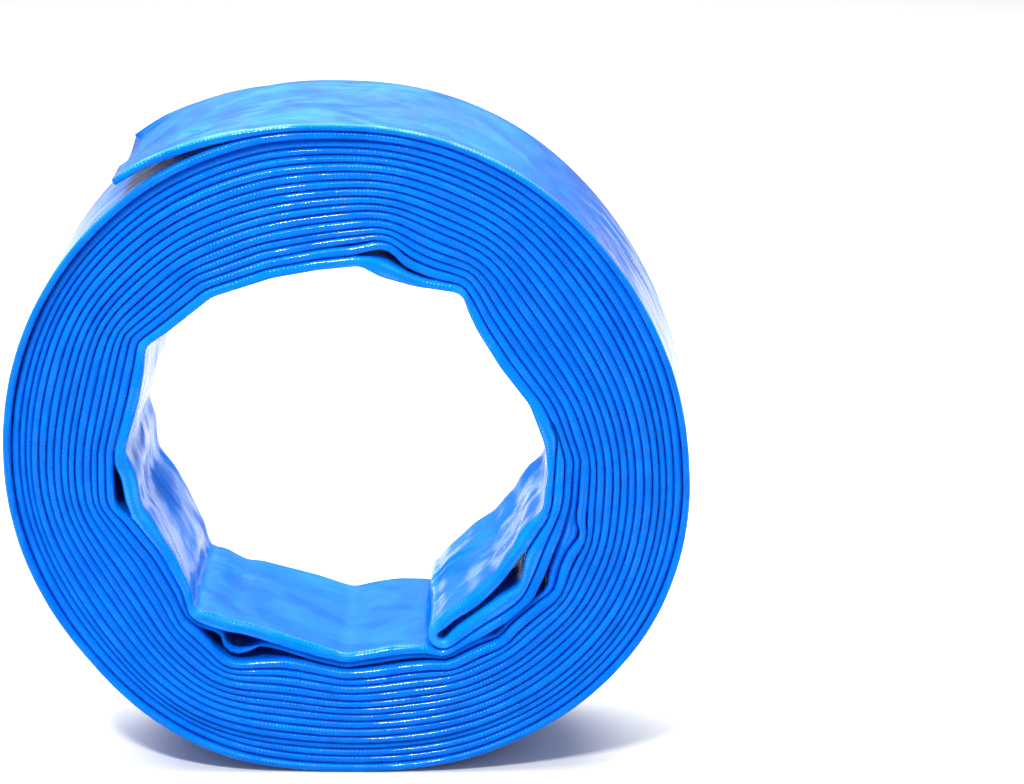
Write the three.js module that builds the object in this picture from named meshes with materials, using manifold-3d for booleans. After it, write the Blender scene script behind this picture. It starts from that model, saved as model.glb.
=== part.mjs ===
// A roll of lay-flat hose, standing on its rim, in millimetres with +Z up.
// The hose is one long tube of blue PVC, pressed flat and wound on itself from a
// folded-back inner end. The roll's axis runs along Y, its front end faces -Y, and
// its origin is the middle of the flat that it rests on.
import * as THREE from 'three';
import { mergeVertices } from 'three/addons/utils/BufferGeometryUtils.js';
import Module from 'manifold-3d';

// Driving sizes
const rollRadius = 127;
const boreRadius = 74.5;
const hoseWidth = 65;
const turns = 16;
const foldDepth = 1.4;
const sideShift = 0.6;
const tailThickness = 2.9;
const tailLift = 3.4;

// Angles round the roll, in degrees from +X towards +Z. The hose is wound
// counterclockwise, from the fold at its inner end to the lifted tail.
const stepAngle = 9;
const foldAngle = -67.5;
const tailRootAngle = 103.5;
const tailEndAngle = 127;
const tuckedSteps = 9;
const stepsPerTurn = 360 / stepAngle;
const windingSteps = stepsPerTurn * turns + (tailRootAngle - foldAngle) / stepAngle;

const pitch = (rollRadius - boreRadius) / (turns + 1);
const tailStart = tailRootAngle + 360 * turns;

// Hand-set outlines as angle and distance from the mean circle. The bore is loosely
// folded, the second turn follows it past the hollows, and the rim is nearly round.
const underFold = 8;
const boreOutline = [
  [-67.5, -1.5], [-58, -2.9], [-40, -4.1], [-28, -3.9], [-20.5, -2.9], [-17.5, -0.6],
  [-3, -0.6], [5, -1.7], [17.5, -4.1], [32, -7.7], [45, -5.5], [52, -1.6], [57, 1.7],
  [68, -3.3], [79, -3.5], [84.5, -0.4], [96, -1.8], [109, -1], [126.5, 2.9], [142, 4.8],
  [148, 8.3], [154, 5.1], [163, 2.9], [177.5, 5.6], [184, 2], [193, 2.3], [208, -0.6],
  [220, 2], [226.5, 8.2], [230, 4.9], [240, 0.3], [254, -0.5], [269, 1.9], [282, 1.4],
  [289, 4.2], [292.5, underFold],
];
const secondTurnOutline = [
  [-67.5, underFold], [-60, 9.1], [-54, 8.4], [-43, 9.8], [-35, 8.6], [-25, 6.2], [-12, 6.6],
  [0, 6], [13, 1.9], [32, -3.5], [45, -1.3], [52, 2.8], [57, 5.3], [65, 2.1], [71, 2.2],
  [76, 6.2], [79, 7.1], [83, 4.7], [96, 2.6], [109, 3.2], [126.5, 7.1], [142, 9], [148, 11.9],
  [154, 9.7], [163, 7.6], [177.5, 9.8], [185, 10.6], [191, 11.9], [196, 7.8], [208, 3.8],
  [220, 6.4], [226.5, 12.1], [230, 11.2], [235.5, 8.3], [238, 13.3], [243.5, 11.6],
  [245.5, 5.1], [252, 3.1], [263, 5.2], [269, 5.4], [282, 4.9], [292.5, underFold + pitch],
];
const rimOutline = [
  [103.5, -2.1], [135, -2.1], [177, -2.2], [209, -1], [220, -0.6], [230, 1], [240, 2.1],
  [250, 2.5], [258, 1.2], [265.5, 0], [274.5, 0], [283, 1.2], [299, 2.8], [309, 3.9],
  [325, 4.1], [341, 2.4], [352, 0.7], [363, -1], [385, -2.7], [396, -2.7], [407, -1.8],
  [418, -0.7], [435, 0], [463.5, 0.7],
];

// Hollows between turns, right through the roll: the middle angle, the half angle
// that it spans, its height and the turn that it lies under
const hollows = [
  { at: 79.5, half: 8, height: 3, under: 1 },
  { at: 190, half: 7, height: 3.2, under: 1 },
  { at: 240.5, half: 5, height: 4.2, under: 1 },
  { at: 233.5, half: 4, height: 3, under: 2 },
  { at: 253, half: 12, height: 3.2, under: 2 },
  { at: -53, half: 5, height: 2.2, under: 2 },
  { at: -34.5, half: 4.5, height: 3.4, under: 2 },
  { at: -19.5, half: 5.5, height: 3, under: 3 },
];
// The hollow inside the fold, from the nose to the three-cornered gap beyond it
const foldHollow = [
  [-66.5, 3.1], [-63.5, 2], [-58, 0.9], [-50, 1.2], [-41, 0.8], [-34, 0.3], [-28.5, 0.7],
  [-31, 1.5], [-35, 4], [-38.2, 6], [-43.5, 3.3], [-50, 2.4], [-58, 2.7], [-63, 5.6], [-66, 5.4],
];

const radians = THREE.MathUtils.degToRad;

// The two points of an outline on either side of an angle, and the share between them
function bracket(outline, angle) {
  const found = outline.findIndex(([at]) => at >= angle);
  const right = found < 0 ? outline.length - 1 : Math.max(found, 1);
  const [from, start] = outline[right - 1];
  const [to, end] = outline[right];
  return { from, start, to, end, share: THREE.MathUtils.clamp((angle - from) / (to - from), 0, 1) };
}

// The radius at an angle on an outline of straight runs from crease to crease
function creased(outline, mean, angle) {
  const { from, start, to, end, share } = bracket(outline, angle);
  const span = radians(to - from);
  const along = span * share;
  const near = mean + start;
  const far = mean + end;
  return near * far * Math.sin(span)
    / (near * Math.sin(along) + far * Math.sin(span - along));
}

// The radius at an angle on an outline that is eased from point to point
function rounded(outline, mean, angle) {
  const { start, end, share } = bracket(outline, angle);
  return mean + THREE.MathUtils.lerp(start, end, THREE.MathUtils.smoothstep(share, 0, 1));
}

// The height of a hollow at an angle
function opening({ at, half, height }, angle) {
  const along = (angle - at) / half;
  return Math.abs(along) < 1 ? height * Math.sqrt(1 - along * along) : 0;
}

// The radius of the line between two turns. The winding angle runs on from turn to
// turn, so one function gives the bore, each turn's inner side and the rim.
function turnLine(winding) {
  if (winding <= foldAngle + 360) {
    return creased(boreOutline, boreRadius, winding);
  }
  const turn = Math.min(Math.floor((winding - foldAngle) / 360), turns + 1);
  const angle = winding - 360 * turn;
  const raised = hollows
    .filter(({ under }) => under > 1 && under <= turn)
    .reduce((sum, hollow) => sum + opening(hollow, angle), 0);
  const second = creased(secondTurnOutline, boreRadius, angle);
  const fromSecond = second + pitch * (turn - 1) + raised;
  const rimTurn = Math.min(Math.floor((winding - tailRootAngle) / 360), turns);
  const rim = rounded(rimOutline, rollRadius, winding - 360 * rimTurn);
  const fromRim = rim - pitch * (turns - rimTurn);
  const wound = (winding - foldAngle - 720) / (tailStart - foldAngle - 720);
  return THREE.MathUtils.lerp(fromSecond, fromRim, THREE.MathUtils.clamp(wound, 0, 1));
}

// The line between the first turn and the end tucked behind it, which thins out
function tuckLine(step) {
  const winding = foldAngle + step * stepAngle;
  const outer = turnLine(winding + 360);
  const share = 0.47 + 0.53 * THREE.MathUtils.smoothstep(step, tuckedSteps - 3, tuckedSteps);
  return THREE.MathUtils.lerp(turnLine(winding), outer, share);
}

// Turns don't lie quite level on the ends: the outer two stand out at the front and
// the three below them are drawn in
function shift(step) {
  const fromRim = turns - step / stepsPerTurn;
  const drawnIn = THREE.MathUtils.smoothstep(fromRim, 0.6, 1.1);
  const outAgain = THREE.MathUtils.smoothstep(fromRim, 3.8, 4.6);
  return sideShift * (-1 + 2 * drawnIn - 1.4 * outAgain);
}

// The roll, as one closed mesh with a ridge for each turn on both ends
function woundRoll() {
  const positions = [];
  const faces = [];
  const place = (step, radius, side, inset) => {
    const angle = radians(foldAngle + step * stepAngle);
    const y = side * (hoseWidth / 2 - inset) + shift(step);
    positions.push(radius * Math.cos(angle), y, radius * Math.sin(angle));
    return positions.length / 3 - 1;
  };
  const quad = (a, b, c, d, flip) => {
    const corners = flip ? [d, c, b, a] : [a, b, c, d];
    for (const triangle of [[0, 1, 2], [0, 2, 3]]) {
      const [p, q, r] = triangle.map((corner) => corners[corner]);
      if (p !== q && q !== r && r !== p) {
        faces.push(p, q, r);
      }
    }
  };
  const row = (step, inner, outer, side, innerRadius, outerRadius) => {
    const ridge = (share) => place(
      step, THREE.MathUtils.lerp(innerRadius, outerRadius, share), side, 0,
    );
    return inner === outer ? [inner, inner, inner, inner] : [inner, ridge(0.3), ridge(0.7), outer];
  };
  const ends = [-1, 1].map((side) => {
    const lines = [];
    for (let step = 0; step <= windingSteps + stepsPerTurn; step += 1) {
      const radius = turnLine(foldAngle + step * stepAngle);
      lines.push({ radius, vertex: place(step, radius, side, foldDepth) });
    }
    const tucks = [];
    for (let step = 0; step < tuckedSteps; step += 1) {
      const radius = tuckLine(step);
      tucks.push({ radius, vertex: place(step, radius, side, foldDepth) });
    }
    tucks.push(lines[tuckedSteps + stepsPerTurn]);
    const between = (step, from, to) => row(
      step, from.vertex, to.vertex, side, from.radius, to.radius,
    );
    const rows = [];
    for (let step = 0; step <= windingSteps; step += 1) {
      const over = step <= tuckedSteps ? tucks[step] : lines[step + stepsPerTurn];
      rows.push(between(step, lines[step], over));
    }
    const tuckRows = tucks.map((line, step) => between(step, line, lines[step + stepsPerTurn]));
    return { side, lines, rows, tuckRows };
  });
  for (const { side, rows, tuckRows } of ends) {
    for (const strip of [rows, tuckRows]) {
      for (let step = 1; step < strip.length; step += 1) {
        for (let column = 0; column < 3; column += 1) {
          quad(
            strip[step - 1][column], strip[step - 1][column + 1],
            strip[step][column + 1], strip[step][column], side > 0,
          );
        }
      }
    }
  }
  // Walls from the front end to the back end
  const [front, back] = ends;
  const wall = (frontLine, backLine) => {
    for (let corner = 1; corner < frontLine.length; corner += 1) {
      quad(
        frontLine[corner - 1], frontLine[corner], backLine[corner], backLine[corner - 1], false,
      );
    }
  };
  const bore = ({ lines }) => lines.slice(0, stepsPerTurn + 1).map((line) => line.vertex);
  const rim = ({ lines }) => lines.slice(windingSteps).map((line) => line.vertex).reverse();
  const foldStep = ({ rows, tuckRows }) => [...rows[0], ...tuckRows[0].slice(1)].reverse();
  const tailStep = ({ rows }) => rows[windingSteps];
  for (const outline of [bore, rim, foldStep, tailStep]) {
    wall(outline(front), outline(back));
  }
  const geometry = new THREE.BufferGeometry();
  geometry.setAttribute('position', new THREE.Float32BufferAttribute(positions, 3));
  geometry.setIndex(faces);
  return geometry;
}

// A point in the plane of an end
function spot(angle, radius) {
  return new THREE.Vector2(radius * Math.cos(radians(angle)), radius * Math.sin(radians(angle)));
}

// A closed outline in the plane of an end, extruded along the roll's axis
function slab(points, depth, bevel) {
  const shape = new THREE.Shape(points);
  const geometry = new THREE.ExtrudeGeometry(shape, { depth, bevelEnabled: false, ...bevel });
  geometry.rotateX(Math.PI / 2);
  geometry.translate(0, depth / 2, 0);
  return geometry;
}

// The hose's two long edges are folds, so a run of hose is chamfered at both ends
const fold = {
  bevelEnabled: true,
  bevelSegments: 1,
  bevelThickness: foldDepth,
  bevelSize: tailThickness * 0.3,
  bevelOffset: -tailThickness * 0.3,
};

// A lens-shaped hollow under a turn
function hollowCut(hollow) {
  const sides = 5;
  const points = [];
  for (const direction of [-1, 1]) {
    for (let corner = 0; corner < sides; corner += 1) {
      const angle = hollow.at + hollow.half * direction * (2 * corner / sides - 1);
      const line = turnLine(angle + 360 * hollow.under);
      points.push(spot(angle, line - (direction < 0 ? 0 : opening(hollow, angle))));
    }
  }
  return slab(points, 2 * hoseWidth);
}

// The rounded nose where the inner end is folded back on itself
function nose() {
  const sides = 18;
  const inner = turnLine(foldAngle);
  const outer = boreRadius + underFold;
  const middle = spot(foldAngle, (inner + outer) / 2);
  const points = [];
  for (let corner = 0; corner < sides; corner += 1) {
    points.push(spot(360 * corner / sides, (outer - inner) / 2).add(middle));
  }
  return slab(points, hoseWidth - 2 * foldDepth, fold);
}

// The free end of the hose, lifted off the turn below it. It starts inside the roll.
function tail() {
  const span = tailEndAngle - tailRootAngle;
  const sides = 4;
  const top = [];
  const underside = [];
  for (let corner = -1; corner <= sides; corner += 1) {
    const share = corner / sides;
    const angle = tailRootAngle + span * share;
    const lift = corner < 0 ? 0 : tailLift * Math.sin(share * Math.PI / 2) + 0.3;
    const radius = turnLine(tailStart + span * Math.max(share, 0)) + lift;
    top.push(spot(angle, radius + tailThickness));
    underside.push(spot(angle, radius - (corner < 0 ? 0.6 : 0)));
  }
  const geometry = slab([...top, ...underside.reverse()], hoseWidth - 2 * foldDepth, fold);
  geometry.translate(0, -sideShift, 0);
  return geometry;
}

const manifold = await Module();
manifold.setup();

function solid(geometry) {
  geometry.deleteAttribute('normal');
  geometry.deleteAttribute('uv');
  const merged = mergeVertices(geometry);
  return new manifold.Manifold(new manifold.Mesh({
    numProp: 3,
    vertProperties: merged.attributes.position.array,
    triVerts: merged.index.array,
  }));
}

function meshed(shape) {
  const { vertProperties, triVerts } = shape.getMesh();
  const geometry = new THREE.BufferGeometry();
  geometry.setAttribute('position', new THREE.BufferAttribute(vertProperties, 3));
  geometry.setIndex(new THREE.BufferAttribute(triVerts, 1));
  return geometry;
}

const foldPoints = foldHollow.map(([angle, out]) => spot(angle, boreRadius + out));
const foldCut = slab(foldPoints, 2 * hoseWidth);
let hose = solid(woundRoll()).add(solid(tail())).add(solid(nose())).subtract(solid(foldCut));
for (const hollow of hollows) {
  hose = hose.subtract(solid(hollowCut(hollow)));
}

const hoseGeometry = meshed(hose);
hoseGeometry.computeBoundingBox();
const { min, max } = hoseGeometry.boundingBox;
hoseGeometry.translate(-(min.x + max.x) / 2, -(min.y + max.y) / 2, -min.z);
hoseGeometry.computeVertexNormals();

const bluePvc = new THREE.MeshStandardMaterial({ color: 0x0082f5, roughness: 0.28, metalness: 0 });
const hoseRoll = new THREE.Mesh(hoseGeometry, bluePvc);
hoseRoll.name = 'lay_flat_hose';

const part = new THREE.Group();
part.add(hoseRoll);
export default part;
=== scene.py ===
import math

import bpy
import numpy as np
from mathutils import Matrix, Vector


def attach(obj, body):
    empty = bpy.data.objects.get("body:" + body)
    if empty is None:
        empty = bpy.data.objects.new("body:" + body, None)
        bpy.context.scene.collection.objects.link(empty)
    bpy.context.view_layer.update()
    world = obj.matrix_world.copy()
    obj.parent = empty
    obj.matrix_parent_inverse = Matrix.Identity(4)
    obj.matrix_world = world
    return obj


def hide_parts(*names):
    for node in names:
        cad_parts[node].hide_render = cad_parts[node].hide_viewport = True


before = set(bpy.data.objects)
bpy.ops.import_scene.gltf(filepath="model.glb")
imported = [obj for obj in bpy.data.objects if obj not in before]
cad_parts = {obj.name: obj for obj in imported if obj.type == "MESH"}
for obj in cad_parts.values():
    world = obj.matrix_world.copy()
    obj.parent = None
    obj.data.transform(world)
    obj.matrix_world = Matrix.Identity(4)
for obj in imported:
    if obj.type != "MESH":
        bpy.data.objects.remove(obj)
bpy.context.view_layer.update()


# Camera. It stands in front of the roll, a little to the right and well above its
# middle, with a lens long enough to keep both ends of the roll nearly the same size.
camera_data = bpy.data.cameras.new("camera")
camera_data.lens = 93.2
camera_data.sensor_width = 36
camera = bpy.data.objects.new("camera", camera_data)
camera.location = (0.0598, -0.934, 0.4746)
camera.rotation_euler = (math.radians(70.4), 0, 0)
bpy.context.collection.objects.link(camera)
bpy.context.scene.camera = camera


# Route of the hose. The hose is one tube of blue PVC over a woven yarn, pressed flat
# and wound on itself. Its inner end is tucked back behind the first turn, so the bore
# starts with a rounded fold, and its outer end stands off the roll at the top.
# Angles are in degrees round the roll, from +X towards +Z, and radii in millimetres.
ROLL_X = -1.16
ROLL_Z = 126.61
NOSE = -66.0
TAIL_ROOT = 103.5
TAIL_END = 127.0
ROUNDS = 16
SAMPLE = 0.5
PER_TURN = int(360 / SAMPLE)


def chords(points, angles):
    """The radius on straight runs from point to point."""
    at, radius = np.array(points, float).T
    i = np.clip(np.searchsorted(at, angles, side="right") - 1, 0, len(at) - 2)
    before, after = np.radians(at[i]), np.radians(at[i + 1])
    here = np.radians(angles)
    near, far = radius[i], radius[i + 1]
    return near * far * np.sin(after - before) / (
        near * np.sin(here - before) + far * np.sin(after - here))


def soften(values, spread):
    """Gaussian smoothing by a spread in degrees, with the ends held."""
    reach = int(4 * spread / SAMPLE) + 1
    weights = np.exp(-0.5 * (np.arange(-reach, reach + 1) * SAMPLE / spread) ** 2)
    return np.convolve(np.pad(values, reach, mode="edge"), weights / weights.sum(), "valid")


def ease(x, start, end):
    """0 up to start, 1 from end on, and smooth between."""
    t = np.clip((x - start) / (end - start), 0, 1)
    return t * t * (3 - 2 * t)


round_angles = NOSE + SAMPLE * np.arange(PER_TURN + 1)
bore_line = chords([
    (-66, 74.2), (-63.5, 72.3), (-59.4, 70.4), (-50.8, 70.3), (-45.4, 69.9), (-39.6, 70.5),
    (-34.2, 69.5), (-29.9, 70), (-24.9, 69.7), (-20.2, 70.9), (-17.8, 73.4), (-14.2, 74.3),
    (-2.8, 73.9), (4.8, 72.8), (17.5, 70.4), (32, 66.8), (45.3, 69), (52.3, 72.9), (54.6, 75.8),
    (57, 76.2), (68.2, 71.2), (78.7, 71), (84.6, 74.1), (96.3, 72.7), (109.4, 73.5),
    (126.5, 77.4), (141.8, 79.3), (148.2, 82.8), (153.9, 79.6), (162.6, 77.4), (177.6, 80.1),
    (184.2, 76.5), (193.4, 76.8), (208.2, 73.9), (220.2, 76.5), (226.4, 82.7), (229.5, 79.4),
    (236.7, 77), (240, 74.8), (254.6, 74), (268.9, 77.9), (272.8, 77.2), (281.9, 76.3),
    (291, 79.5), (294, 83.5),
], round_angles)
second_line = chords([
    (-66, 83.5), (-63, 84.2), (-60, 83.6), (-53.7, 82.9), (-47.6, 83.9), (-42.6, 85),
    (-39.4, 84.8), (-35.4, 83.4), (-30.7, 82), (-25, 80.7), (-20, 80.6), (-14.4, 81.2),
    (-10.7, 81.1), (0, 80.3), (7, 78.4), (13, 76.2), (17.5, 75), (32, 71.2), (45.3, 73.2),
    (52.3, 77.2), (57, 79.8), (62, 77.6), (65.4, 76.6), (71.2, 76.7), (74.8, 78.3), (76.5, 80.8),
    (78.7, 81.6), (81.2, 81), (82.8, 79.9), (87, 78), (96.3, 77), (109.4, 77.7), (126.5, 81.5),
    (141.8, 83.4), (148.2, 86.6), (153.9, 84), (162.6, 82.2), (177.6, 84.4), (184.8, 85.1),
    (187.5, 85.4), (191.3, 86.4), (193.4, 85.2), (196.2, 82.3), (208.2, 78.4), (220.2, 80.9),
    (226.4, 86.2), (230, 85.8), (235.8, 83), (238, 87.8), (240.8, 88.3), (243.7, 86.1),
    (245.5, 80.4), (252, 79), (262, 80.2), (269, 81.8), (276, 80.6), (285, 80.8), (291, 83.3),
    (294, 86.7),
], round_angles)
third_line = chords([
    (-66, 86.7), (-64.1, 86.8), (-60.9, 86), (-56, 86.6), (-53.5, 87.8), (-51.3, 89.6),
    (-49.6, 88.2), (-46.7, 87.9), (-43.3, 88), (-38.4, 88.8), (-36.2, 89.8), (-34.8, 90.8),
    (-33.3, 88.8), (-31.7, 87.2), (-28.4, 86.2), (-21.4, 84.8),
    (-17.2, 84.4), (-11.7, 84.2), (0, 83.6), (13, 79.6), (17.5, 78.2), (32, 74.6), (45.3, 76.6),
    (52.3, 80.4), (57, 82.8), (62, 81.2), (66, 80.3), (71.2, 80.6), (74.8, 82.6), (78, 84.6),
    (81.2, 84.6), (85, 82.8), (90, 81.4), (96.3, 80.4), (109.4, 81), (126.5, 84.6),
    (141.8, 86.6), (148.2, 89.5), (153.9, 87.2), (162.6, 85.4), (177.6, 87.4), (187.5, 88.8),
    (191.3, 89.6), (196.2, 86.2), (208.2, 82), (220.2, 84.2), (226.4, 88.4), (229, 88.2),
    (233, 89), (236.4, 90.8), (240, 92.2), (243, 91.2), (248, 86.6), (253, 83.6), (258.4, 82.9),
    (263, 83.7), (269, 84.8), (276, 84.2), (285, 84.4), (291, 86.4), (294, 88.9),
], round_angles)
fourth_line = chords([
    (-66, 88.9), (-64.8, 89), (-56.7, 89.3), (-51.8, 91.3), (-50.2, 90.7), (-47.6, 89.7),
    (-44.1, 89.8), (-36.9, 91.7), (-35, 93.1), (-33, 92.2), (-28.6, 89.8), (-24.4, 89.3),
    (-21.3, 90.5), (-19.2, 91.6), (-17.6, 89.8), (-15.6, 87.4), (-11.7, 87), (0, 86.2),
    (13, 82.4), (17.5, 81), (32, 77.8), (45.3, 79.6), (52.3, 83.2), (57, 85.4), (62, 84),
    (66, 83.2), (71.2, 83.6), (78, 87.2), (81.2, 87.2), (85, 85.6), (90, 84.4), (96.3, 83.4),
    (109.4, 84), (126.5, 87.4), (141.8, 89.4), (148.2, 92.2), (153.9, 90.2), (162.6, 88.4),
    (177.6, 90.2), (187.5, 91.6), (191.3, 92.2), (196.2, 89.2), (208.2, 85.2), (220.2, 87.2),
    (226.4, 91.2), (233, 92.2), (240, 95.2), (243, 94.4), (248, 90.2), (253, 87.4),
    (258.4, 86.6), (269, 88.2), (276, 87.8), (285, 88.2), (291, 90.4), (294, 92.2),
], round_angles)

# Further out each turn lies on the one below and rounds off its creases. The list
# gives how thick each of these turns is, against the others.
line_turns = [bore_line, second_line, third_line, fourth_line]
turn_weights = [2.6, 3.1, 3.3, 2.5, 2.9, 2.9, 2.9, 3.2, 2.7, 2.5, 2.5, 3.2, 3.2, 2.8, 2.8]
TURN_PITCH = 2.66
mean_growth = TURN_PITCH / np.mean(turn_weights)
for weight in turn_weights:
    last = line_turns[-1]
    growth = last[-1] - last[0]
    looped = np.concatenate([last[:-1] - growth, last[:-1], last + growth])
    smooth = soften(looped, 2.6)[PER_TURN:2 * PER_TURN + 1]
    turn = smooth + weight * mean_growth
    step = last[-1] - turn[0]
    line_turns.append(turn + step * (1 - ease(round_angles, NOSE, NOSE + 150)))
windings = NOSE + SAMPLE * np.arange(PER_TURN * len(line_turns) + 1)
line = np.concatenate([turn[:-1] for turn in line_turns] + [line_turns[-1][-1:]])

# The outermost line is the rim itself, which is nearly round and presses flat on the
# floor. The turns between take up what is left, more and more towards the rim.
rim_angles = TAIL_ROOT + SAMPLE * np.arange(PER_TURN + 1)
rim_points = np.array([
    (103.5, 124.9), (116, 125.1), (123, 125.4), (131, 125), (150, 124.8), (178, 124.7),
    (209, 126), (220, 126.5), (230, 128), (240, 129.1), (250, 129.3), (259, 127.7),
    (265.5, 126.9), (270, 126.6), (274.5, 126.9), (280, 127.4), (289, 129), (299, 129.8),
    (309, 130.9), (319, 131.2), (330, 131), (341, 129.4), (351.5, 127.6), (360, 125.6),
    (373, 124.2), (385, 123.3), (396, 123.3), (407, 124.1), (418, 125.3), (429, 125.8),
    (440, 125.9), (450, 125.7), (463.5, 127.6),
])
rim_line = soften(np.interp(rim_angles, *rim_points.T), 3)
outermost = TAIL_ROOT + 360 * ROUNDS
free_from = NOSE + 3 * 360
missing = rim_line - np.interp(rim_angles + 360 * ROUNDS, windings, line)
left_over = missing[-1] - missing[0]
shared = missing - left_over * (rim_angles - TAIL_ROOT) / 360
around = (windings - TAIL_ROOT) % 360 + TAIL_ROOT
wound = np.clip((windings - free_from) / (outermost - free_from), 0, 1)
line = line + wound * np.interp(around, rim_angles, shared)
line = line + left_over * np.clip((windings - outermost) / 360, 0, 1)
line[:PER_TURN * 4] = soften(line, 0.9)[:PER_TURN * 4]

# Both ends of the roll differ a little: how much further out the back end lies, in the
# bore and on the rim
bore_lean = soften(np.interp(round_angles, *np.array([
    (-64, 0.5), (-62.6, 0), (-48.8, -2.4), (-31.6, 1), (-14.8, 1.7), (0, 0.8), (20, 0),
    (140, 0), (159.7, -2), (176.3, -1.4), (190.7, 1.9), (200.2, 0), (215, 1.4), (222.8, 1.8),
    (227, -0.3), (236.2, 2.3), (243.3, 1.3), (257.6, -0.8), (267.1, -0.7), (274.4, -1.8),
    (287, -0.6), (294, 0.5),
]).T), 1.6)
rim_lean = soften(np.interp(rim_angles, *np.array([
    (103.5, 1.2), (140, 0.4), (200, 0), (340, 0), (362, 1.8), (373, 1.2), (385, 0.8),
    (407, 0.9), (440, 1.2), (463.5, 1.2),
]).T), 4)
bore_fade = np.interp(windings, [NOSE, NOSE + 360, NOSE + 720, NOSE + 1080], [1, 0.75, 0.3, 0])
lean = bore_fade * np.interp((windings - NOSE) % 360 + NOSE, round_angles, bore_lean)
lean = lean + wound ** 3 * np.interp(around, rim_angles, rim_lean)


def radius_at(winding):
    return np.interp(winding, windings, line)


# The hose's own two faces at each station along it. Face A is the one that turns
# inwards at the fold, and outwards in the wound part. No turn is thicker than the hose
# can be, and hollows are left where the next turn bridges a crease.
SLACK = 0.05
FULLEST_TURN = 3.9
FULLEST_AT_FOLD = 6.2
station_rows = []


def station(winding, angle, inward, outward, wound_part, lean_in, lean_out):
    """Both faces at an angle, from their radii and how much each leans from front to back."""
    spread = np.radians(angle)
    direction = np.array([math.cos(spread), math.sin(spread)])
    centre = np.array([ROLL_X, ROLL_Z])
    inner = (centre + direction * inward, direction * lean_in)
    outer = (centre + direction * outward, direction * lean_out)
    first, second = (outer, inner) if wound_part else (inner, outer)
    station_rows.append((winding, first[0], second[0], first[1], second[1]))


tuck_inner = soften(chords([
    (-66, 80), (-62.8, 79.8), (-61, 78.4), (-57.3, 77.4), (-50.3, 77.2), (-47, 77.5),
    (-43.4, 77.9), (-40.7, 79.5), (-38.2, 80.6), (-34.9, 79), (-30.9, 76.4), (-28.6, 75.6),
    (-25, 76), (-20.9, 76.8), (-17.2, 77.8), (-12.7, 77.7), (-8.3, 77), (0.2, 77), (6.3, 77.6),
    (12, 77), (30, 74), (294, 74),
], round_angles), 0.7)
first_outer = soften(np.interp(round_angles, *np.array([
    (-66, 77), (-63.5, 76.9), (-61, 76.3), (-58, 75.4), (-50, 75.7), (-41, 75.2), (-34, 74.8),
    (-28.7, 75.2), (-25, 75.8), (-20.9, 76.6), (-17.2, 77.6), (-12.7, 77.5), (-8.3, 76.7),
    (0.2, 76.7), (6.3, 77.2), (8, 90), (50, 90), (62, 82), (65.2, 75.9),
    (70.9, 75.7), (75.4, 77), (78.3, 78.3), (82.7, 78.4), (86.9, 77.9), (90, 86), (120, 90),
    (178, 92), (182, 84), (185, 82.6), (187.7, 82.5), (191.9, 82.7), (194.8, 82), (200, 90),
    (222, 92), (227, 86.6), (230, 85.8), (236, 82.8), (240, 80.5), (245, 79.2), (252, 78.8),
    (258, 80), (263, 81.5), (269, 82.5), (278, 90), (294, 92),
]).T), 0.7)

TUCK_END = 11.0


def tuck_lower(angle):
    """The tuck's face on the first turn, where the hose thins out to its end."""
    upper = radius_at(angle + 360) - SLACK
    lower = np.interp(angle, round_angles, tuck_inner)
    return upper - max(upper - lower, 0.5) * (1 - 0.9 * ease(angle, 0, TUCK_END))


PIVOT_ANGLE = -63.5
PIVOT_RADIUS = 78.35
FOLD_HOLLOW = 1.6
for angle in np.arange(TUCK_END, PIVOT_ANGLE + 0.7, -1.5):
    over_lean = np.interp(angle + 360, windings, lean)
    station(angle, angle, tuck_lower(angle), radius_at(angle + 360) - SLACK, False, 0, over_lean)
tuck_stations = len(station_rows)
pivot = np.array([ROLL_X, ROLL_Z]) + PIVOT_RADIUS * np.array(
    [math.cos(math.radians(PIVOT_ANGLE)), math.sin(math.radians(PIVOT_ANGLE))])
fold_steps = 18
upper_reach = radius_at(PIVOT_ANGLE + 360) - SLACK - PIVOT_RADIUS
lower_reach = PIVOT_RADIUS - radius_at(PIVOT_ANGLE)
for step in range(fold_steps + 1):
    share = step / fold_steps
    facing = math.radians(PIVOT_ANGLE - 180 * share)
    direction = np.array([math.cos(facing), math.sin(facing)])
    reach = (1 - share) * upper_reach + share * lower_reach - 0.4 * math.sin(math.pi * share)
    still = direction * 0
    station_rows.append(
        (PIVOT_ANGLE, pivot + direction * FOLD_HOLLOW, pivot + direction * reach, still, still))

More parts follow.
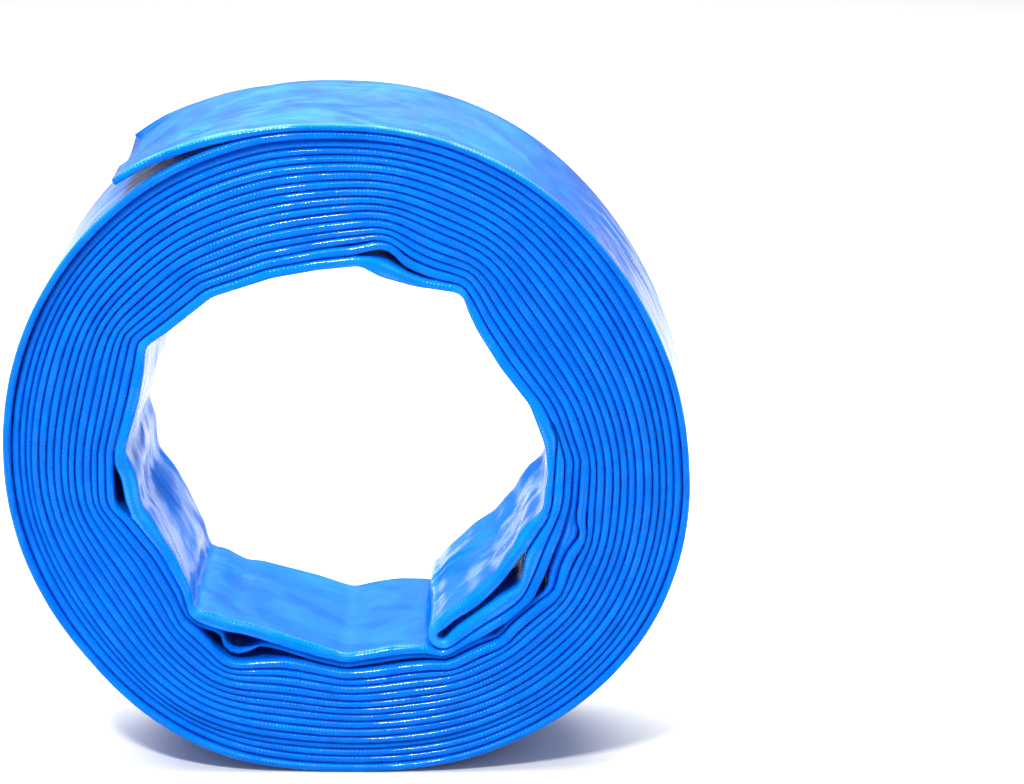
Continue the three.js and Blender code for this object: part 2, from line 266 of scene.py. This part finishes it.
station_windings = np.concatenate([
    np.arange(PIVOT_ANGLE + 1.5, NOSE + 360, 1.5),
    np.arange(NOSE + 360, NOSE + 1440, 2.0),
    np.arange(NOSE + 1440, outermost - 380, 3.2),
    np.arange(outermost - 380, 360 * ROUNDS + TAIL_END - 0.9, 1.8),
    [360 * ROUNDS + TAIL_END],
])
tail_under = [(103.5, 124.9), (108.2, 125.4), (115.8, 127.2), (121.8, 129), (127, 130)]
tail_over = [(103.5, 127.6), (109.3, 129.2), (115, 130.6), (121, 132.2), (127, 132.5)]
rng = np.random.default_rng(7)
wander_knots = rng.normal(0, 1, (3, 260))
for winding in station_windings:
    angle = winding if winding < 360 else winding % 360
    under = radius_at(winding)
    lean_in = np.interp(winding, windings, lean)
    lean_out = np.interp(winding + 360, windings, lean) if winding > TUCK_END else 0
    if winding <= outermost:
        over = radius_at(winding + 360) - SLACK
        if winding < NOSE + 360:
            over = min(over, np.interp(winding, round_angles, first_outer))
            if -28 < winding < TUCK_END:
                over = tuck_lower(winding) - 0.12
        elif winding < NOSE + 720:
            thickest = np.interp(winding - 360, [-66, -5, 40, 200, 232, 245, 294],
                                 [3.9, 4.2, 3.6, 3.5, 2.7, 2.6, 2.8])
            over = min(over, under + thickest)
        else:
            fullest = FULLEST_AT_FOLD if winding < NOSE + 790 else FULLEST_TURN
            over = min(over, under + fullest)
    else:
        lift = ease(winding, outermost, outermost + 3)
        angle = winding - 360 * ROUNDS
        under = (1 - lift) * under + lift * np.interp(angle, *np.array(tail_under).T)
        over = np.interp(angle, *np.array(tail_over).T)
        lean_out = lean_in
    station(winding, angle, under, over, True, lean_in, lean_out)


# Body of the hose. Its section is a flattened tube: two walls that lie together and a
# rounded fold along each edge. It is swept along the route as one closed skin. Turns
# that were pushed back a little at the front end lie in shadow there.
HOSE_HALF_WIDTH = 32.5
FOLD_SHARE = 0.52
LEAST_FOLD = 0.5
FULLEST_FOLD = 2.0
FULLEST_RIM_FOLD = 2.3
PUSHED_BACK = 2.1
WALL_GAP = 0.2
recess_knots = np.array([
    (-66, 0.4), (-40, 0), (250, 0), (294, 0.2), (560, 0.3), (582, 0.8), (588, 2.6), (597, 3.9),
    (606, 3.7), (616, 3), (640, 2.7), (690, 2.7), (708, 2.4), (722, 1.1), (760, 0.4),
    (1100, 0.2), (1500, 0.4), (2200, 0.1), (2900, 0.5), (3600, 0.1),
])
front_fold = [math.radians(a) for a in (-90, -66, -44, -22, 0, 22, 44, 66, 90)]
back_fold = [math.radians(a) for a in (90, 60, 30, 0, -30, -60, -90)]
wall_steps = np.array([0.035, 0.09, 0.18, 0.29, 0.41, 0.53, 0.65, 0.77, 0.88, 0.96])


def wander(channel, position):
    """Smooth chance from -1 to 1 or so along the winding."""
    x = position / 24 % 250
    i = int(x)
    t = x - i
    t = t * t * (3 - 2 * t)
    return (1 - t) * wander_knots[channel, i] + t * wander_knots[channel, i + 1]


rng_waves = np.random.default_rng(11)
wave_rows = [(rng_waves.uniform(2.5, 8), rng_waves.uniform(0.5, 1.9), rng_waves.uniform(0, 6.28),
              rng_waves.uniform(0.1, 0.3)) for _ in range(7)]


# Long hollows in the loose inner wall: first and last angle, place across the width at
# each, and depth in mm
HOLLOW_WIDTH = 0.17
hollows = [(-64, -8, 0.4, 0.75, 1.5), (182, 232, 0.55, 0.3, 1.4), (228, 290, 0.7, 0.35, 0.8)]


def dent(winding, across):
    """How far the loose inner wall of the bore stands off its mean line, in mm."""
    shown = ease(across, 0.02, 0.2) * (1 - ease(across, 0.86, 1)) * (1 - ease(winding, 230, 300))
    hollow = 0
    for start, end, near, far, deep_by in hollows:
        inside = ease(winding, start, start + 12) * (1 - ease(winding, end - 12, end))
        off_line = across - near - (far - near) * (winding - start) / (end - start)
        hollow += deep_by * inside * math.exp(-(off_line / HOLLOW_WIDTH) ** 2)
    return shown * (hollow + sum(
        height * math.sin(2 * math.pi * (rate * winding / 360 + turns * across) + phase)
        for rate, turns, phase, height in wave_rows))


MOUTH_SAG = 2.0


def mouth(winding, across):
    """How far the free end's outer wall falls in behind its puffed front edge, in mm."""
    near_end = ease(winding, 360 * ROUNDS + 110, 360 * ROUNDS + TAIL_END)
    return near_end * MOUTH_SAG * ease(across, 0.3, 0.5) * (1 - 0.5 * ease(across, 0.6, 0.95))


points = []
along_values = []
reach_values = []
turn_values = []
travelled = 0.0
previous = None
for order, (winding, face_a, face_b, lean_a, lean_b) in enumerate(station_rows):
    middle = (face_a + face_b) / 2
    if previous is not None:
        travelled += np.linalg.norm(middle - previous)
    previous = middle
    from_rim = (outermost - winding) / 360
    drawn = np.interp(winding, *recess_knots.T)
    if winding > 3600:
        side_on = 0.65 - 0.35 * math.cos(math.radians(winding + 45))
        drawn = 0.15 * math.cos(from_rim * 3.1)
        drawn += PUSHED_BACK * side_on * ease(from_rim, 0.8, 1.3) * (1 - ease(from_rim, 3.4, 4.6))
        drawn -= 0.55 * (1 - ease(from_rim, 0.8, 1.3))
    drawn += 0.28 * wander(0, winding)
    front = -HOSE_HALF_WIDTH + drawn
    back = HOSE_HALF_WIDTH - 0.15 * drawn + 0.2 * wander(1, winding)
    thickness = np.linalg.norm(face_a - face_b)
    fullest = FULLEST_RIM_FOLD if winding > outermost - 300 else FULLEST_FOLD
    depth = min(max(FOLD_SHARE * thickness, LEAST_FOLD), fullest)
    width = back - front - 2 * depth
    ring = []
    for turn_to in front_fold:
        ring.append((front + depth * (1 - math.cos(turn_to)), 0.5 + 0.475 * math.sin(turn_to)))
    for share in wall_steps:
        ring.append((front + depth + width * share, 1.0))
    for turn_to in back_fold:
        ring.append((back - depth * (1 - math.cos(turn_to)), 0.5 + 0.5 * math.sin(turn_to)))
    for share in wall_steps[::-1]:
        ring.append((front + depth + width * share, 0.0))
    outward = (face_a - face_b) / thickness
    for y, share in ring:
        across = np.clip((y - front) / (back - front), 0, 1)
        flat = face_b + (face_a - face_b) * share
        flat = flat + (lean_b + (lean_a - lean_b) * share) * across
        neck = WALL_GAP * ease(min(y - front, back - y), depth, 8)
        if share == 0:
            flat = flat + outward * neck
            if winding < 300 and order >= tuck_stations:
                flat = flat + outward * dent(winding, across)
        elif share == 1:
            flat = flat - outward * neck
            if winding > outermost:
                flat = flat - outward * mouth(winding, across)
        points.append((flat[0] / 1000, y / 1000, flat[1] / 1000))
        along_values.append(travelled / 1000)
        from_fold = y - front - depth
        edge = abs(share - 0.5) * thickness
        reach_values.append((edge if from_fold < 0 else 0.5 * thickness + from_fold) / 1000)
        turn_values.append(winding / 360)
hose_length = travelled / 1000

# Where the hose is bent sharply its skin carries fine lines; on the bore wall a painted
# reflection lays pale streaks along them
middles = np.array([(a + b) / 2 for _, a, b, _, _ in station_rows])
headings = np.unwrap(np.arctan2(*np.diff(middles, axis=0).T[::-1]))
steps = np.linalg.norm(np.diff(middles, axis=0), axis=1)
bends = np.abs(np.diff(headings)) / np.maximum((steps[1:] + steps[:-1]) / 2, 0.4)
bends = np.convolve(np.pad(bends, 2, mode="edge"), [0.25, 0.5, 0.25], "same")[1:-1]
count = len(front_fold) + len(back_fold) + 2 * len(wall_steps)
rings = len(station_rows)
GENTLE_BEND = 0.05
SHARP_BEND = 0.2
sharpness = np.clip((bends - GENTLE_BEND) / (SHARP_BEND - GENTLE_BEND), 0, 1)
crease_values = np.repeat(sharpness, count)
faces = []
for here in range(0, (rings - 1) * count, count):
    ahead = here + count
    for corner in range(count):
        beside = (corner + 1) % count
        faces.append((here + corner, here + beside, ahead + beside, ahead + corner))
faces.append(tuple(range(count - 1, -1, -1)))
faces.append(tuple(range((rings - 1) * count, rings * count)))
hose_mesh = bpy.data.meshes.new("hose_roll")
hose_mesh.from_pydata(points, [], faces)
for name, values in (("along", along_values), ("reach", reach_values), ("turn", turn_values),
                     ("crease", crease_values)):
    hose_mesh.attributes.new(name, "FLOAT", "POINT").data.foreach_set("value", values)
hose_mesh.validate()
hose_mesh.shade_smooth()
hose = bpy.data.objects.new("hose_roll", hose_mesh)
bpy.context.collection.objects.link(hose)
print("hose length m", round(hose_length, 3), "triangles", 2 * len(faces), "box",
      np.min(points, axis=0).round(4), np.max(points, axis=0).round(4))


class Socket:
    """A shader socket whose arithmetic adds Math nodes."""

    def __init__(self, tree, link):
        self.tree = tree
        self.link = link

    def maths(self, operation, *values):
        return self.tree.node("ShaderNodeMath", {"operation": operation}, *values)

    def __add__(self, other):
        return self.maths("ADD", self, other)

    def __radd__(self, other):
        return self.maths("ADD", other, self)

    def __sub__(self, other):
        return self.maths("SUBTRACT", self, other)

    def __rsub__(self, other):
        return self.maths("SUBTRACT", other, self)

    def __mul__(self, other):
        return self.maths("MULTIPLY", self, other)

    def __rmul__(self, other):
        return self.maths("MULTIPLY", other, self)

    def sine(self):
        return self.maths("SINE", self)

    def between(self, low, high):
        """0 below low, 1 above high, and smooth between."""
        settings = {"interpolation_type": "SMOOTHSTEP"}
        return self.tree.node("ShaderNodeMapRange", settings, self, low, high, 0.0, 1.0)


class Finish:
    """A material whose nodes are added one by one."""

    def __init__(self, name):
        self.material = bpy.data.materials.new(name)
        self.material.use_nodes = True
        self.nodes = self.material.node_tree.nodes
        self.nodes.clear()

    def node(self, kind, settings=None, *values, out=0, **named):
        made = self.nodes.new(kind)
        for key, value in (settings or {}).items():
            setattr(made, key, value)
        sockets = [s for s in made.inputs if s.enabled]
        pairs = list(zip(sockets, values))
        pairs += [(self.enabled(made.inputs, key), value) for key, value in named.items()]
        for socket, value in pairs:
            if isinstance(value, Socket):
                self.material.node_tree.links.new(value.link, socket)
            elif value is not None:
                socket.default_value = value
        outputs = [s for s in made.outputs if s.enabled]
        if isinstance(out, str):
            outputs = [s for s in outputs if s.name == out]
            out = 0
        return Socket(self, outputs[out]) if outputs else None

    def enabled(self, sockets, name):
        wanted = name.replace("_", " ").lower()
        return next(s for s in sockets if s.enabled and s.name.lower() == wanted)

    def blend(self, factor, first, second):
        settings = {"data_type": "RGBA"}
        return self.node("ShaderNodeMix", settings, factor, first, second)


def colour(red, green, blue):
    """A colour as it looks on a screen, 0 to 255, for a socket."""
    def linear(value):
        value /= 255
        return value / 12.92 if value <= 0.04045 else ((value + 0.055) / 1.055) ** 2.4
    return (linear(red), linear(green), linear(blue), 1)


# Finish of the hose: glossy azure PVC. The yarn under it shows as fine ribs along the
# folds and as a faint lattice on the walls, and loose walls carry soft creases.
pvc = Finish("azure_lay_flat_pvc")
along = pvc.node("ShaderNodeAttribute", {"attribute_name": "along"}, out="Fac")
reach = pvc.node("ShaderNodeAttribute", {"attribute_name": "reach"}, out="Fac")
turn = pvc.node("ShaderNodeAttribute", {"attribute_name": "turn"}, out="Fac")
place = pvc.node("ShaderNodeCombineXYZ", None, along, reach, turn)


def noise(scales, detail=3.0, roughness=0.5, distortion=0.0):
    """Noise drawn on the hose's own skin, as along, across and turn."""
    stretched = pvc.node("ShaderNodeVectorMath", {"operation": "MULTIPLY"}, place, scales)
    return pvc.node("ShaderNodeTexNoise", None, Vector=stretched, Scale=1.0, Detail=detail,
                    Roughness=roughness, Distortion=distortion, out="Fac")


RIB = 0.0014
LATTICE = 0.0021
crease = pvc.node("ShaderNodeAttribute", {"attribute_name": "crease"}, out="Fac")
jitter = noise((160, 160, 3), 2.0)
ribs = (along * (2 * math.pi / RIB) + jitter * 3.0).sine() * 0.5 + 0.5
warps = (reach * (2 * math.pi / LATTICE)).sine() * 0.5 + 0.5
near_fold = 1 - reach.between(0.0012, 0.005)
patches = noise((90, 90, 5), 3.0)
lattice = (ribs * 0.5 + warps * 0.5) * (0.1 + 0.1 * patches)
rib_height = ribs * near_fold * (0.3 + 0.9 * patches) + lattice
drawn_lines = noise((26, 420, 3), 3.0, 0.6, 0.3)
crease_lines_and_glints = noise((900, 60, 3), 3.0, 0.6, 0.3) * crease
swells = noise((34, 60, 3), 2.0, 0.5, 0.6)
clouds = noise((20, 26, 3), 1.0, 0.5, 1.2)
bore_wall = 1 - turn.between(0.7, 0.95)
loose = 0.3 + 0.7 * bore_wall + 0.6 * turn.between(15.5, 15.9)

deep = colour(0, 85, 180)
bright = colour(0, 108, 202)
tint = pvc.blend(noise((60, 40, 4), 3.0).between(0.3, 0.7), deep, bright)
crest_highlight = colour(0, 122, 218)
side = colour(0, 128, 245)
bore_painted_light = colour(0, 138, 226)
streak_reflection = colour(60, 165, 255)
# Painted highlight: the rounded front of each fold is painted lighter where the light falls on
# it.
tint = pvc.blend((1 - reach.between(0.0003, 0.0022)) * 0.35, tint, crest_highlight)
# Painted highlight: a lighter line is painted along each fold's shoulder, where it meets the
# wall.
shoulder_highlight_mask = reach.between(0.0009, 0.0014) * (1 - reach.between(0.002, 0.0035))
tint = pvc.blend(shoulder_highlight_mask * 0.7, tint, side)
# Painted light: the first turn, the bore wall, is painted lighter and more cyan in place of the
# light inside the bore.
tint = pvc.blend(bore_wall * 0.3, tint, bore_painted_light)
# Painted reflection: pale streaks are painted along the crease lines of the bore wall.
tint = pvc.blend(crease_lines_and_glints * bore_wall * 0.6, tint, streak_reflection)
roughness = 0.08 + 0.08 * patches + 0.1 * drawn_lines
shoulder = reach.between(0.0004, 0.0009) * (1 - reach.between(0.0018, 0.003))
gloss = shoulder * patches.between(0.42, 0.56) * (0.25 + 0.75 * ribs)
relief = pvc.node("ShaderNodeBump", None, Strength=1.0, Distance=0.0001, Height=rib_height)
relief = pvc.node("ShaderNodeBump", None, Strength=1.0, Distance=0.00016,
                  Height=drawn_lines * loose + crease_lines_and_glints, Normal=relief)
relief = pvc.node("ShaderNodeBump", None, Strength=1.0, Distance=0.0012,
                  Height=swells * loose, Normal=relief)
relief = pvc.node("ShaderNodeBump", None, Strength=1.0, Distance=0.004,
                  Height=clouds * loose, Normal=relief)
shader = pvc.node("ShaderNodeBsdfPrincipled", None, Base_Color=tint, Roughness=roughness,
                  Normal=relief, IOR=1.42, Specular_IOR_Level=0.25,
                  Specular_Tint=(0.45, 0.85, 1, 1), Coat_Weight=gloss, Coat_Roughness=0.1)
pvc.node("ShaderNodeOutputMaterial", None, shader)
hose_mesh.materials.append(pvc.material)
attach(hose, "root")
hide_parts("lay_flat_hose")


# Floor and light. A wide pale floor runs past the view, under a bright even sky; its far
# part is painted a little darker as shade. One broad soft light hangs overhead and two weak
# ones stand behind. At the front a small bright one gives the folds their glints, and a large
# weak one fills the shade.
floor_mesh = bpy.data.meshes.new("floor")
floor_mesh.from_pydata(
    [(-14, -14, 0), (14, -14, 0), (14, 14, 0), (-14, 14, 0)], [], [(0, 1, 2, 3)])
floor = bpy.data.objects.new("floor", floor_mesh)
bpy.context.collection.objects.link(floor)
paper = Finish("white_paper_floor")
place_on_floor = paper.node("ShaderNodeTexCoord", out="Object")
# Painted shade: the floor's colour turns a little darker far back, where less light reaches it.
far_back = paper.node("ShaderNodeSeparateXYZ", None, place_on_floor, out="Y").between(0.2, 1.6)
paper_and_far_shade = paper.blend(far_back, (0.66, 0.66, 0.66, 1), (0.59, 0.59, 0.58, 1))
paper_shader = paper.node("ShaderNodeBsdfPrincipled", None, Base_Color=paper_and_far_shade,
                          Roughness=0.75, Specular_IOR_Level=0.2)
paper.node("ShaderNodeOutputMaterial", None, paper_shader)
floor_mesh.materials.append(paper.material)

world = bpy.data.worlds.new("studio")
world.use_nodes = True
world.node_tree.nodes["Background"].inputs["Color"].default_value = (1, 1, 1, 1)
world.node_tree.nodes["Background"].inputs["Strength"].default_value = 0.5
bpy.context.scene.world = world


def softbox(name, stand, aim, size, power):
    data = bpy.data.lights.new(name, "AREA")
    data.shape = "RECTANGLE"
    data.size, data.size_y = size
    data.energy = power
    lamp = bpy.data.objects.new(name, data)
    lamp.location = stand
    lamp.visible_camera = False
    lamp.rotation_euler = (Vector(aim) - Vector(stand)).to_track_quat("-Z", "Y").to_euler()
    bpy.context.collection.objects.link(lamp)


softbox("overhead", (-0.1, 0.3, 1.25), (-0.05, 0.1, 0.2), (1.6, 1.5), 36)
softbox("back_high", (0.1, 1.5, 1.3), (0, 0, 0.1), (1.8, 0.9), 5)
softbox("back_low", (0.1, 2.0, 1.0), (0, 0, 0.25), (3.4, 0.5), 3)
softbox("strip", (-0.3, -0.75, 1.25), (0, 0, 0.15), (0.26, 0.09), 16)
softbox("front_fill", (0.9, -1.6, 1.2), (0, 0, 0.12), (1.6, 1.2), 3)

bpy.context.scene.view_settings.view_transform = "Standard"
bpy.context.scene.view_settings.look = "Medium High Contrast"
